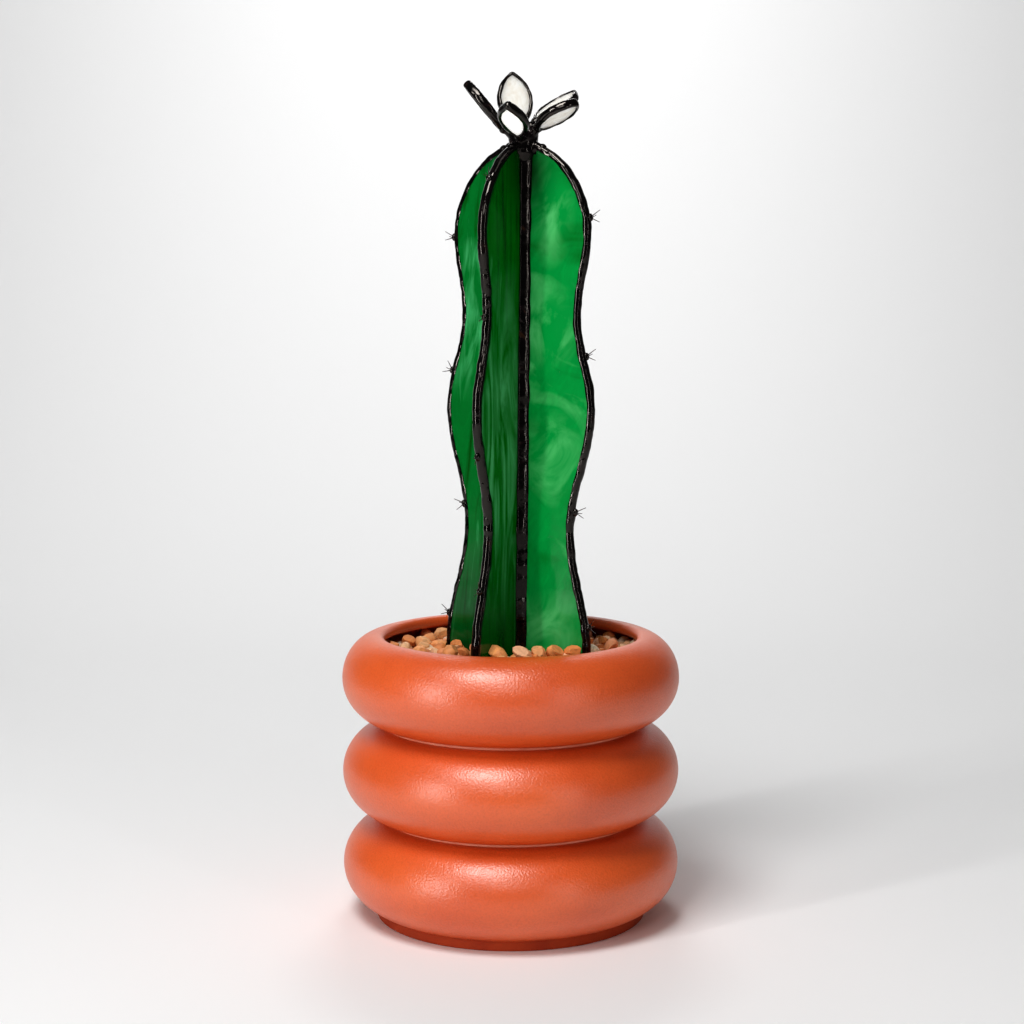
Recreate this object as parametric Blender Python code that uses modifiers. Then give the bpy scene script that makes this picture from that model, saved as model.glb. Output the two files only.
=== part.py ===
"""Stained glass cactus in a three-ring ceramic pot.

Four flat fins of green glass stand in a cross and are soldered together along the middle. Each fin has a
wavy outer edge wrapped in foil and bead solder, with twisted wire spines along it. Five glass petals grow
out of a solder hub on top. The cactus is cast into a plaster plug in the pot, under a bed of gravel.

Metres, +Z up. The origin is on the pot's axis, at the surface that the pot stands on.
"""

import math

import bmesh
import bpy
from mathutils import Matrix, Vector

GAP = 0.0003  # space left between pieces that touch

# The pot: three stacked rings, each half an ellipse in section, drawn in to a lip at the top.
POT_RADIUS = 0.0658
RING_BULGE = 0.0197
RING_PITCH = 0.0366
RINGS = 3
FIRST_CREASE = 0.0028
POT_WALL = 0.0045
LIP_BULGE = 0.0143
LIP_RISE = 0.0165
FOOT_INSET = 0.0129  # how far the foot stands in from the rings
FOOT_RING_WIDTH = 0.0075
FOOT_RECESS = 0.0012
POT_STEPS = 48
PLUG_STEPS = 32
OUTSIDE_CUTS = 8
INSIDE_CUTS = 6
FOLD_CUTS = 2

# What fills the pot.
GRAVEL_BELOW_LIP = 0.0078
GRAVEL_DEPTH = 0.0068

# The cactus stands a little to one side of the pot's axis and leans by about half a degree. Its own heights
# are counted from the top of the gravel.
CACTUS_OFFSET = 0.0029
CACTUS_LEAN = math.radians(0.57)

# The fins: bulges and waists of the outer edge, as (height, distance from the cactus axis).
FIN_FOOT = -0.0250
BASE_BULGE = (0.0020, 0.0327)
LOW_WAIST = (0.0500, 0.0245)
MIDDLE_BULGE = (0.0955, 0.0331)
HIGH_WAIST = (0.1320, 0.0264)
TOP_BULGE = (0.1630, 0.0304)
FIN_TOP = 0.1980
DOME_POWER = 1.85
EDGE_STEP = 0.0075

# Name, azimuth and how much further out than the others each hand-cut fin reaches.
FINS = (
    ("right", -32.0, -0.0002),
    ("front", -122.0, -0.0003),
    ("left", 148.0, 0.0006),
    ("back", 58.0, 0.0),
)
SPINE_HEIGHTS = {
    "right": (0.015, 0.060, 0.113, 0.167),
    "front": (0.030, 0.081, 0.133, 0.181),
    "left": (0.012, 0.061, 0.112, 0.164),
    "back": (0.023, 0.071, 0.123, 0.175),
}

# Glass, foil and solder.
FIN_GLASS = 0.0030
FIN_SOLDER = 0.0006  # on each face of the glass
PETAL_GLASS = 0.0025
PETAL_SOLDER = 0.0005
RIM_LIP = 0.0003  # foil and solder over the glass, at its thin inner border
BEAD_OUT = 0.0010  # solder beyond the edge of the glass slot
FIN_BORDER = 0.0022  # from the outer edge of a fin to the inner border of its rim
PETAL_BORDER = 0.0018
SEAM_REACH = 0.0050
SEAM_CORE = FIN_GLASS / 2 + GAP + 0.0002
SEAM_CUTS = 4

# The flower.
HUB_BOTTOM = 0.1930
HUB_RADIUS = 0.0062
HUB_CROWN = 0.0025
HUB_TOP = 0.2020
HUB_STEPS = 20
PETAL_WIDTH = 0.0142
PETAL_CUTS = 9

# Name, azimuth, rise, length, turn about its own length, and how far its root is out from the hub's side
# and up from the hub's top.
PETALS = (
    ("front", -102.0, 24.0, 0.0247, -12.0, (0.0014, -0.0028)),
    ("right", -36.0, 27.0, 0.0210, 0.0, (-0.0002, 0.0002)),
    ("right_back", 36.0, 32.0, 0.0243, 0.0, (-0.0012, 0.0025)),
    ("back", 108.0, 66.0, 0.0246, -8.0, (-0.0004, 0.0004)),
    ("left", 180.0, 50.0, 0.0240, 0.0, (0.0007, -0.0005)),
)

# The spines.
KNOT_HALF = 0.0009
KNOT_WIDTH = 0.0013
WIRE_RADIUS = 0.0003
WIRE_REACH = 0.0040
WIRE_SPREAD = math.radians(38.0)


def clear_scene():
    for old in list(bpy.data.objects):
        bpy.data.objects.remove(old, do_unlink=True)


def new_collection(name):
    collection = bpy.data.collections.new(name)
    bpy.context.scene.collection.children.link(collection)
    return collection


def new_material(name, colour, roughness, metallic=0.0, alpha=1.0):
    material = bpy.data.materials.new(name)
    material.use_nodes = True
    shader = material.node_tree.nodes["Principled BSDF"]
    shader.inputs["Base Color"].default_value = (*colour, 1.0)
    shader.inputs["Roughness"].default_value = roughness
    shader.inputs["Metallic"].default_value = metallic
    shader.inputs["Alpha"].default_value = alpha
    return material


def add_object(name, data, collection, material=None, parent=None):
    piece = bpy.data.objects.new(name, data)
    collection.objects.link(piece)
    if material:
        data.materials.append(material)
    piece.parent = parent
    return piece


def add_empty(name, collection, location, turn, parent=None):
    empty = add_object(name, None, collection, parent=parent)
    empty.location = location
    empty.rotation_euler = turn
    return empty


def hide_helper(helper):
    helper.hide_render = True
    helper.display_type = "WIRE"


def shade_round(mesh, sharpest=math.radians(35.0)):
    mesh.shade_smooth()
    mesh.set_sharp_from_angle(angle=sharpest)


def cut(piece, cutter, operation="DIFFERENCE"):
    modifier = piece.modifiers.new(cutter.name, "BOOLEAN")
    modifier.object = cutter
    modifier.operation = operation
    modifier.solver = "EXACT"


def arc(centre, half_width, half_height, start, end, cuts):
    """Points on an elliptical arc, from one angle to another."""
    points = []
    for step in range(cuts + 1):
        angle = math.radians(start + (end - start) * step / cuts)
        x = centre[0] + half_width * math.cos(angle)
        z = centre[1] + half_height * math.sin(angle)
        points.append((x, z))
    return points


def turned(name, profile, steps, collection, material):
    """A solid turned about Z, from a profile that runs down its outer side."""
    mesh = bpy.data.meshes.new(name)
    vertices = [(x, 0.0, z) for x, z in profile]
    edges = [(index, index + 1) for index in range(len(profile) - 1)]
    mesh.from_pydata(vertices, edges, [])
    piece = add_object(name, mesh, collection, material)
    screw = piece.modifiers.new("turn", "SCREW")
    screw.steps = steps
    screw.render_steps = steps
    screw.use_merge_vertices = True
    screw.merge_threshold = 0.00001
    screw.use_smooth_shade = True
    return piece


def extruded(name, outline, thickness, collection, material, parent):
    """A flat outline, filled and given a thickness on both sides of its plane."""
    curve = bpy.data.curves.new(name, "CURVE")
    curve.dimensions = "2D"
    curve.fill_mode = "BOTH"
    curve.extrude = thickness / 2
    spline = curve.splines.new("POLY")
    spline.points.add(len(outline) - 1)
    for point, (x, y) in zip(spline.points, outline):
        point.co = (x, y, 0.0, 1.0)
    spline.use_cyclic_u = True
    return add_object(name, curve, collection, material, parent)


def sideways(path, closed):
    """For each point of a path, the move that carries the path one unit to its left."""
    count = len(path)
    moves = []
    for index in range(count):
        here = Vector(path[index])
        before = Vector(path[index - 1]) if closed or index else here
        after = Vector(path[(index + 1) % count]) if closed or index < count - 1 else here
        run = (after - before).normalized()
        leg = (after - here if after != here else here - before).normalized()
        moves.append(Vector((-run.y, run.x)) / max(leg.dot(run), 0.5))
    return moves


def inset(path, closed, distance):
    return [Vector(point) + move * distance for point, move in zip(path, sideways(path, closed))]


def rim_section(glass, solder, border):
    """Foil and solder round the edge of the glass, as (distance in from the edge, height off the middle)."""
    half = glass / 2 + solder
    slot = glass / 2 + GAP
    one_side = [
        (BEAD_OUT * 0.25, half * 0.6),
        (BEAD_OUT * 1.2, half),
        (border, slot + RIM_LIP),
        (border, slot),
        (BEAD_OUT, slot),
    ]
    return [(0.0, 0.0), *one_side, *[(x, -height) for x, height in reversed(one_side)]]


def rim(name, path, closed, sizes, collection, material, parent):
    """The rim's section carried along the edge of the glass, with the edge's inside on the left."""
    section = rim_section(*sizes)
    mesh = bpy.data.meshes.new(name)
    shape = bmesh.new()
    columns = [(inset(path, closed, distance), height) for distance, height in section]
    loops = []
    for index in range(len(path)):
        loops.append([shape.verts.new((*place[index], height)) for place, height in columns])
    pairs = list(zip(loops, loops[1:]))
    if closed:
        pairs.append((loops[-1], loops[0]))
    size = len(section)
    for first, second in pairs:
        for side in range(size):
            other = (side + 1) % size
            shape.faces.new((first[side], first[other], second[other], second[side]))
    if not closed:
        shape.faces.new(loops[0])
        shape.faces.new(reversed(loops[-1]))
    bmesh.ops.recalc_face_normals(shape, faces=shape.faces)
    shape.to_mesh(mesh)
    shape.free()
    shade_round(mesh)
    return add_object(name, mesh, collection, material, parent)


def ring_centre(ring):
    return FIRST_CREASE + RING_PITCH * (ring + 0.5)


def lip_top():
    return ring_centre(RINGS - 1) + LIP_RISE


def gravel_top():
    return lip_top() - GRAVEL_BELOW_LIP


def pot_side(inside):
    """The pot's side from its foot up to the top of the lip, moved inwards by the given distance."""
    middle = POT_RADIUS - RING_BULGE
    half = RING_PITCH / 2
    ring_cuts = INSIDE_CUTS if inside else OUTSIDE_CUTS
    points = []
    for ring in range(RINGS):
        centre = (middle, ring_centre(ring))
        top_ring = ring == RINGS - 1
        last = 0 if top_ring else 90
        cuts = ring_cuts // 2 if top_ring else ring_cuts
        points += arc(centre, RING_BULGE - inside, half - inside, -90, last, cuts)
        if inside and not top_ring:
            fold = (middle, centre[1] + half)
            points += arc(fold, inside, inside, 270, 90, 2 * FOLD_CUTS)[1:-1]
    lip = (POT_RADIUS - LIP_BULGE, ring_centre(RINGS - 1))
    points += arc(lip, LIP_BULGE - inside, LIP_RISE - inside, 0, 90, ring_cuts // 2)[1:]
    return points


def without_repeats(points):
    kept = [points[0]]
    for point in points[1:]:
        if math.dist(point, kept[-1]) > GAP / 3:
            kept.append(point)
    return kept


def between(points, low, high):
    """The stretch of a rising path between two heights, with its ends cut level."""
    kept = []
    for first, second in zip(points, points[1:]):
        for level in (low, high):
            if first[1] < level < second[1]:
                share = (level - first[1]) / (second[1] - first[1])
                kept.append((first[0] + share * (second[0] - first[0]), level))
        if low <= second[1] <= high:
            kept.append(second)
    return sorted(kept, key=lambda point: point[1])


def make_pot(collection):
    glaze = new_material("terracotta_glaze", (0.78, 0.16, 0.04), 0.35)
    inner = pot_side(POT_WALL)
    lip_centre = (POT_RADIUS - LIP_BULGE, lip_top() - POT_WALL / 2)
    lip = arc(lip_centre, POT_WALL / 2, POT_WALL / 2, 270, 90, 2 * FOLD_CUTS)
    foot_radius = POT_RADIUS - FOOT_INSET
    outer = [point for point in pot_side(0.0) if point[0] > foot_radius or point[1] > ring_centre(0)]
    share = 1 - FOOT_INSET / RING_BULGE
    foot_top = ring_centre(0) - (RING_PITCH / 2) * math.sqrt(1 - share**2)
    foot_inner = foot_radius - FOOT_RING_WIDTH
    profile = [
        (0.0, inner[0][1]),
        *inner,
        *lip,
        *reversed(outer),
        (foot_radius, foot_top),
        (foot_radius, 0.0),
        (foot_inner, 0.0),
        (foot_inner - FOOT_RECESS, FOOT_RECESS),
        (0.0, FOOT_RECESS),
    ]
    return turned("pot", without_repeats(profile), POT_STEPS, collection, glaze)


def make_filling(collection, slot):
    """The plaster plug cast in the pot, and the bed of gravel on it, both slotted for the cactus."""
    plaster = new_material("cast_plaster", (0.72, 0.69, 0.62), 0.9)
    gravel = new_material("tan_gravel", (0.55, 0.36, 0.22), 0.8)
    side = pot_side(POT_WALL + GAP)
    plug_top = gravel_top() - GRAVEL_DEPTH - GAP
    plug_side = [point for point in side if point[1] < plug_top]
    plug_side.append(between(side, plug_top, plug_top + GAP)[0])
    plug_profile = [(0.0, plug_top), *reversed(plug_side), (0.0, side[0][1])]
    plug = turned("plaster_plug", without_repeats(plug_profile), PLUG_STEPS, collection, plaster)
    bed_bottom = plug_top + GAP
    bed_side = between(side[-INSIDE_CUTS:], bed_bottom, gravel_top())
    bed_profile = [(0.0, gravel_top()), *reversed(bed_side), (0.0, bed_bottom)]
    bed = turned("gravel_bed", bed_profile, POT_STEPS, collection, gravel)
    cut(plug, slot)
    cut(bed, slot)


def slot_cutter(collection, axis):
    """A cross-shaped block that leaves room for the four fins and for the seam between them."""
    bottom = FIN_FOOT - GAP
    height = RING_PITCH / 2 - bottom
    half = FIN_GLASS / 2 + FIN_SOLDER + GAP
    core = SEAM_REACH + GAP
    further = {azimuth % 360: extra for _, azimuth, extra in FINS}
    outline = []
    for quarter in range(4):
        azimuth = (FINS[0][1] + 90.0 * quarter) % 360
        reach = BASE_BULGE[1] + further[azimuth] + GAP
        for x, y in ((core, -half), (reach, -half), (reach, half), (core, half), (core, core)):
            spot = Matrix.Rotation(math.radians(azimuth), 2) @ Vector((x, y))
            outline.append((spot.x, spot.y))
    cutter = mesh_from_curve(extruded("slot", outline, height, collection, None, axis), collection)
    cutter.location = (0.0, 0.0, bottom + height / 2)
    hide_helper(cutter)
    return cutter


def fin_reach(height):
    """How far the edge of a fin stands from the cactus axis at a height."""
    bulges = (BASE_BULGE, LOW_WAIST, MIDDLE_BULGE, HIGH_WAIST, TOP_BULGE)
    if height <= BASE_BULGE[0]:
        return BASE_BULGE[1]
    if height >= TOP_BULGE[0]:
        share = min((height - TOP_BULGE[0]) / (FIN_TOP - TOP_BULGE[0]), 1.0)
        return TOP_BULGE[1] * (1 - share**DOME_POWER) ** (1 / DOME_POWER)
    for low, high in zip(bulges, bulges[1:]):
        if height <= high[0]:
            wave = (1 - math.cos(math.pi * (height - low[0]) / (high[0] - low[0]))) / 2
            return low[1] + wave * (high[1] - low[1])
    return BASE_BULGE[1]


def fin_edge(further):
    """The outer edge of a fin, from its foot up to the hub, at even steps along its length."""
    fine = 0.0002
    hub_side = HUB_RADIUS + FIN_BORDER / 2
    dense = [(BASE_BULGE[1] + further, FIN_FOOT)]
    height = FIN_FOOT
    while fin_reach(height) * (1 + further / TOP_BULGE[1]) > hub_side:
        reach = fin_reach(height)
        dense.append((reach + further * min(reach / TOP_BULGE[1], 1.0), height))
        height += fine if height < FIN_TOP - 0.004 else fine / 8
    dense.append((hub_side, height))
    lengths = [0.0]
    for first, second in zip(dense, dense[1:]):
        lengths.append(lengths[-1] + math.dist(first, second))
    count = round(lengths[-1] / EDGE_STEP)
    edge = []
    index = 0
    for step in range(count + 1):
        target = lengths[-1] * step / count
        while index < len(dense) - 1 and lengths[index] < target - fine / 100:
            index += 1
        edge.append(dense[index])
    return edge


def make_fins(collection, axis):
    solder = new_material("black_solder", (0.02, 0.018, 0.022), 0.25, metallic=1.0)
    edges = {}
    for name, azimuth, further in FINS:
        glass = new_material(f"green_glass_{name}", (0.0, 0.32, 0.07), 0.1, alpha=0.9)
        # A fin is drawn flat, across and up, and then stood on edge.
        turn = (math.radians(90.0), 0.0, math.radians(azimuth))
        frame = add_empty(f"fin_{name}", collection, (0.0, 0.0, 0.0), turn, axis)
        edge = fin_edge(further)
        edges[name] = edge
        glass_edge = inset(edge, False, BEAD_OUT + GAP)
        shoulder = HUB_BOTTOM - 2 * GAP
        inner = SEAM_CORE + GAP
        corner = [(glass_edge[-1].x, shoulder), (inner, shoulder), (inner, FIN_FOOT)]
        outline = [tuple(point) for point in glass_edge] + corner
        extruded(f"fin_glass_{name}", outline, FIN_GLASS, collection, glass, frame)
        sizes = (FIN_GLASS, FIN_SOLDER, FIN_BORDER)
        rim(f"fin_rim_{name}", edge, False, sizes, collection, solder, frame)
    return edges


def make_seam(collection, axis):
    """The solder column along the cactus axis: a hollow fillet in each corner and a slot for each fin."""
    solder = new_material("seam_solder", (0.02, 0.018, 0.022), 0.3, metallic=1.0)
    slot = FIN_GLASS / 2 + GAP
    lip = slot + RIM_LIP
    outline = []
    for quarter in range(4):
        points = [(SEAM_REACH, -lip), (SEAM_REACH, -slot), (SEAM_CORE, -slot)]
        points += [(SEAM_CORE, slot), (SEAM_REACH, slot)]
        fillet = SEAM_REACH - lip
        points += arc((SEAM_REACH, SEAM_REACH), fillet, fillet, 270, 180, SEAM_CUTS)[:-1]
        for x, y in points:
            spot = Matrix.Rotation(math.radians(90.0 * quarter), 2) @ Vector((x, y))
            outline.append((spot.x, spot.y))
    top = HUB_BOTTOM - 2 * GAP
    seam = extruded("centre_seam", outline, top - FIN_FOOT, collection, solder, axis)
    seam.location = (0.0, 0.0, (top + FIN_FOOT) / 2)
    seam.rotation_euler = (0.0, 0.0, math.radians(FINS[0][1]))


def mesh_from_curve(curve_object, collection):
    """A curve made into a closed mesh of its own, and the curve removed."""
    bpy.context.view_layer.update()
    graph = bpy.context.evaluated_depsgraph_get()
    mesh = bpy.data.meshes.new_from_object(curve_object.evaluated_get(graph))
    shape = bmesh.new()
    shape.from_mesh(mesh)
    bmesh.ops.remove_doubles(shape, verts=shape.verts, dist=0.00001)
    bmesh.ops.recalc_face_normals(shape, faces=shape.faces)
    shape.to_mesh(mesh)
    shape.free()
    name = curve_object.name
    parent = curve_object.parent
    place = curve_object.matrix_basis.copy()
    bpy.data.objects.remove(curve_object, do_unlink=True)
    solid = add_object(name, mesh, collection, parent=parent)
    solid.matrix_basis = place
    return solid


def make_wire(name, points, collection, parent):
    curve = bpy.data.curves.new(name, "CURVE")
    curve.dimensions = "3D"
    curve.bevel_depth = WIRE_RADIUS
    curve.bevel_resolution = 1
    curve.use_fill_caps = True
    spline = curve.splines.new("POLY")
    spline.points.add(len(points) - 1)
    for point, place in zip(spline.points, points):
        point.co = (*place, 1.0)
    wire = mesh_from_curve(add_object(name, curve, collection, parent=parent), collection)
    hide_helper(wire)
    return wire


def make_spines(collection, helpers, axis, edges):
    """Tufts of wire held on the rim by a drop of solder: one bent wire and one single wire in each."""
    wire_material = new_material("spine_wire", (0.05, 0.04, 0.04), 0.3, metallic=1.0)
    for name, azimuth, _ in FINS:
        edge = edges[name]
        leftward = sideways(edge, False)
        for number, height in enumerate(SPINE_HEIGHTS[name], start=1):
            nearest = min(range(len(edge)), key=lambda index: abs(edge[index][1] - height))
            outward = -leftward[nearest].normalized()
            foot = Vector(edge[nearest]) + outward * (KNOT_HALF + GAP)
            label = f"spine_{name}_{number}"
            fin_turn = (math.radians(90.0), 0.0, math.radians(azimuth))
            fin = add_empty(f"{label}_fin", collection, (0.0, 0.0, 0.0), fin_turn, axis)
            lean = (0.0, 0.0, math.atan2(outward.y, outward.x))
            frame = add_empty(f"{label}_frame", collection, (foot.x, foot.y, 0.0), lean, fin)
            mesh = bpy.data.meshes.new(label)
            shape = bmesh.new()
            bmesh.ops.create_icosphere(shape, subdivisions=1, radius=1.0)
            bmesh.ops.scale(shape, verts=shape.verts, vec=(KNOT_HALF, KNOT_WIDTH, KNOT_WIDTH))
            shape.to_mesh(mesh)
            shape.free()
            knot = add_object(label, mesh, collection, wire_material, frame)
            side = math.sin(WIRE_SPREAD) * WIRE_REACH
            ahead = math.cos(WIRE_SPREAD) * WIRE_REACH
            root = KNOT_HALF * 0.2
            twist = WIRE_RADIUS * 4 * (-1) ** number
            bent = [(ahead, side, twist), (root, root, 0.0), (root, -root, 0.0), (ahead, -side, -twist)]
            single = [(root, 0.0, twist / 2), (WIRE_REACH, side / 4, -twist)]
            for kind, points in (("bent", bent), ("single", single)):
                wire = make_wire(f"{label}_{kind}", points, helpers, frame)
                cut(knot, wire, "UNION")


def make_hub(collection, axis):
    """The lump of solder that gathers the tops of the fins and the roots of the petals."""
    solder = new_material("hub_solder", (0.02, 0.018, 0.022), 0.3, metallic=1.0)
    crown = (0.0, HUB_TOP - HUB_CROWN)
    dome = arc(crown, HUB_RADIUS, HUB_CROWN, 90, 0, 4)
    profile = [*dome, (HUB_RADIUS, HUB_BOTTOM), (0.0, HUB_BOTTOM)]
    hub = turned("flower_hub", profile, HUB_STEPS, collection, solder)
    hub.parent = axis


def petal_edge(length):
    """A marquise: two arcs that meet in a point at the root and at the tip."""
    half = PETAL_WIDTH / 2
    radius = (length**2 / 4 + half**2) / (2 * half)
    spread = math.degrees(math.asin(length / 2 / radius))
    far_side = arc((length / 2, half - radius), radius, radius, 90 - spread, 90 + spread, PETAL_CUTS)
    near_side = [(length - x, -y) for x, y in far_side]
    return [*far_side[:-1], *near_side[:-1]]


def make_petals(collection, axis):
    for name, azimuth, rise, length, roll, root in PETALS:
        glass = new_material(f"petal_glass_{name}", (0.92, 0.90, 0.82), 0.1, alpha=0.5)
        solder = new_material(f"petal_solder_{name}", (0.02, 0.018, 0.022), 0.25, metallic=1.0)
        turn = (0.0, 0.0, math.radians(azimuth))
        stand = add_empty(f"petal_{name}_stand", collection, (0.0, 0.0, HUB_TOP + root[1]), turn, axis)
        lift = (math.radians(roll), -math.radians(rise), 0.0)
        frame = add_empty(f"petal_{name}", collection, (HUB_RADIUS + root[0], 0.0, 0.0), lift, stand)
        edge = petal_edge(length)
        glass_edge = inset(edge, True, BEAD_OUT + GAP)
        outline = [tuple(point) for point in glass_edge]
        extruded(f"petal_glass_{name}", outline, PETAL_GLASS, collection, glass, frame)
        sizes = (PETAL_GLASS, PETAL_SOLDER, PETAL_BORDER)
        rim(f"petal_rim_{name}", edge, True, sizes, collection, solder, frame)


clear_scene()
cactus = new_collection("stained_glass_cactus")
helpers = new_collection("cutters")
cactus_place = (CACTUS_OFFSET, 0.0, gravel_top())
cactus_axis = add_empty("cactus_axis", cactus, cactus_place, (0.0, CACTUS_LEAN, 0.0))
make_pot(cactus)
make_filling(cactus, slot_cutter(helpers, cactus_axis))
fin_edges = make_fins(cactus, cactus_axis)
make_seam(cactus, cactus_axis)
make_spines(cactus, helpers, cactus_axis, fin_edges)
make_hub(cactus, cactus_axis)
make_petals(cactus, cactus_axis)
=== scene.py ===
"""Looks of a stained glass cactus in a three-ring ceramic pot, built up from the pot to the flower."""

import math
import random

import bpy
import numpy as np
from mathutils import Matrix, Vector


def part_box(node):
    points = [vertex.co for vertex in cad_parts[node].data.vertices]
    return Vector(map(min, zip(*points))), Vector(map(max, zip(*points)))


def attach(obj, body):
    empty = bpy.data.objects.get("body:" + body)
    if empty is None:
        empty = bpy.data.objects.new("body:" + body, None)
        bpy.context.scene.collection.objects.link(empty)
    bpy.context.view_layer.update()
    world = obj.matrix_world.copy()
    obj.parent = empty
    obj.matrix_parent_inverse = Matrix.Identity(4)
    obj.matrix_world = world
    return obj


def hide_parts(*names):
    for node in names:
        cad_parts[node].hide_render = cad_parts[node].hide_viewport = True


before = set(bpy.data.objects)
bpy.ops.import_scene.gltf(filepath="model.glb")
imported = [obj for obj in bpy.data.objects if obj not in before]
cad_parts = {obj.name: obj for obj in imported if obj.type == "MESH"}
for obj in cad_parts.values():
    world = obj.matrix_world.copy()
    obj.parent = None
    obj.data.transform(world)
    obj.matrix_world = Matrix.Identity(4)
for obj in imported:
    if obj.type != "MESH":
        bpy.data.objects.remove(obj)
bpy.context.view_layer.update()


# The pot. One slip-cast ceramic piece: three stacked rings drawn in to a rolled lip, on a plain foot.
# It has a thin satin glaze in terracotta over sandy clay. The foot and the underside are left bare.
POT_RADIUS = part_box("pot")[1].x
LIP_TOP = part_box("pot")[1].z
RING_BULGE = 0.0197
RING_PITCH = 0.0366
RINGS = 3
FIRST_CREASE = 0.0028
LIP_BULGE = 0.0143
LIP_RISE = 0.0165
POT_WALL = 0.0045
FOOT_INSET = 0.0129
FOOT_RING = 0.0075
FOOT_RECESS = 0.0012
FOOT_ROUNDING = 0.0006
CREASE_OPENING = 0.0008
POT_SIDES = 176
RING_CUTS = 36
INNER_CUTS = 16
LIP_CUTS = 18


def paint(red, green, blue):
    """A colour as seen on a screen, 0 to 255 a channel, as the share of light that it returns."""
    shares = [value / 255 for value in (red, green, blue)]
    return (*[s / 12.92 if s <= 0.04045 else ((s + 0.055) / 1.055) ** 2.4 for s in shares], 1.0)


def set_socket(finish, socket, value):
    finish.node_tree.nodes["Principled BSDF"].inputs[socket].default_value = value


def new_finish(name, roughness):
    finish = bpy.data.materials.new(name)
    finish.use_nodes = True
    set_socket(finish, "Roughness", roughness)
    return finish


def own_place(finish, stretch=(1.0, 1.0, 1.0), turn=(0.0, 0.0, 0.0)):
    """The piece's own coordinates, stretched and turned for a pattern."""
    nodes = finish.node_tree.nodes
    place = nodes.new("ShaderNodeTexCoord")
    mapping = nodes.new("ShaderNodeMapping")
    mapping.vector_type = "TEXTURE"
    mapping.inputs["Rotation"].default_value = turn
    mapping.inputs["Scale"].default_value = stretch
    finish.node_tree.links.new(place.outputs["Object"], mapping.inputs["Vector"])
    return mapping.outputs["Vector"]


def add_noise(finish, place, scale, detail=3.0, distortion=0.0):
    noise = finish.node_tree.nodes.new("ShaderNodeTexNoise")
    noise.inputs["Scale"].default_value = scale
    noise.inputs["Detail"].default_value = detail
    noise.inputs["Distortion"].default_value = distortion
    finish.node_tree.links.new(place, noise.inputs["Vector"])
    return noise.outputs[0]


def add_ramp(finish, factor, stops):
    """Colours by place along a scale from 0 to 1."""
    ramp = finish.node_tree.nodes.new("ShaderNodeValToRGB")
    elements = ramp.color_ramp.elements
    while len(elements) < len(stops):
        elements.new(0.5)
    for element, (position, colour) in zip(elements, stops):
        element.position = position
        element.color = colour
    finish.node_tree.links.new(factor, ramp.inputs["Fac"])
    return ramp.outputs["Color"]


def add_mix(finish, first, second, factor, blend="MIX"):
    mix = finish.node_tree.nodes.new("ShaderNodeMix")
    mix.data_type = "RGBA"
    mix.blend_type = blend
    links = finish.node_tree.links
    links.new(first, mix.inputs[6])
    links.new(second, mix.inputs[7])
    if isinstance(factor, float):
        mix.inputs[0].default_value = factor
    else:
        links.new(factor, mix.inputs[0])
    return mix.outputs[2]


def add_bump(finish, height, distance, strength=1.0, after=None):
    bump = finish.node_tree.nodes.new("ShaderNodeBump")
    bump.inputs["Distance"].default_value = distance
    bump.inputs["Strength"].default_value = strength
    finish.node_tree.links.new(height, bump.inputs["Height"])
    if after:
        finish.node_tree.links.new(after, bump.inputs["Normal"])
    return bump.outputs["Normal"]


def to_shader(finish, socket, value):
    shader = finish.node_tree.nodes["Principled BSDF"]
    finish.node_tree.links.new(value, shader.inputs[socket])


def grey(value):
    return (value, value, value, 1.0)


def arc(centre, half_width, half_height, start, end, cuts):
    """Points on an elliptical arc in the plane of a profile, from one angle to another in degrees."""
    points = []
    for step in range(cuts + 1):
        angle = math.radians(start + (end - start) * step / cuts)
        x = centre[0] + half_width * math.cos(angle)
        points.append((x, centre[1] + half_height * math.sin(angle)))
    return points


def pull_ring(ring, points):
    """Extrudes the selected ring of edges through a run of (radius, height) places."""
    for radius, height in points:
        scale = radius / ring[0]
        bpy.ops.mesh.extrude_region_move()
        bpy.ops.transform.resize(value=(scale, scale, 1.0), center_override=(0.0, 0.0, 0.0))
        bpy.ops.transform.translate(value=(0.0, 0.0, height - ring[1]))
        ring = (radius, height)
    return ring


def ring_centre(ring):
    return FIRST_CREASE + RING_PITCH * (ring + 0.5)


def crease_angle():
    """Where a ring's arc stops, short of the next one by half of the crease's opening."""
    return math.degrees(math.asin(1 - CREASE_OPENING / RING_PITCH))


def pot_outside():
    """The outside from the top of the foot up to the crown of the lip."""
    middle = POT_RADIUS - RING_BULGE
    half = RING_PITCH / 2
    stop = crease_angle()
    share = 1 - FOOT_INSET / RING_BULGE
    foot_angle = -math.degrees(math.acos(share))
    points = arc((middle, ring_centre(0)), RING_BULGE, half, foot_angle, stop, RING_CUTS - 6)
    points += arc((middle, ring_centre(1)), RING_BULGE, half, -stop, stop, RING_CUTS)
    points += arc((middle, ring_centre(2)), RING_BULGE, half, -stop, 0, RING_CUTS // 2)
    lip = (POT_RADIUS - LIP_BULGE, ring_centre(RINGS - 1))
    points += arc(lip, LIP_BULGE, LIP_RISE, 0, 90, LIP_CUTS)[1:]
    return points


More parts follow.
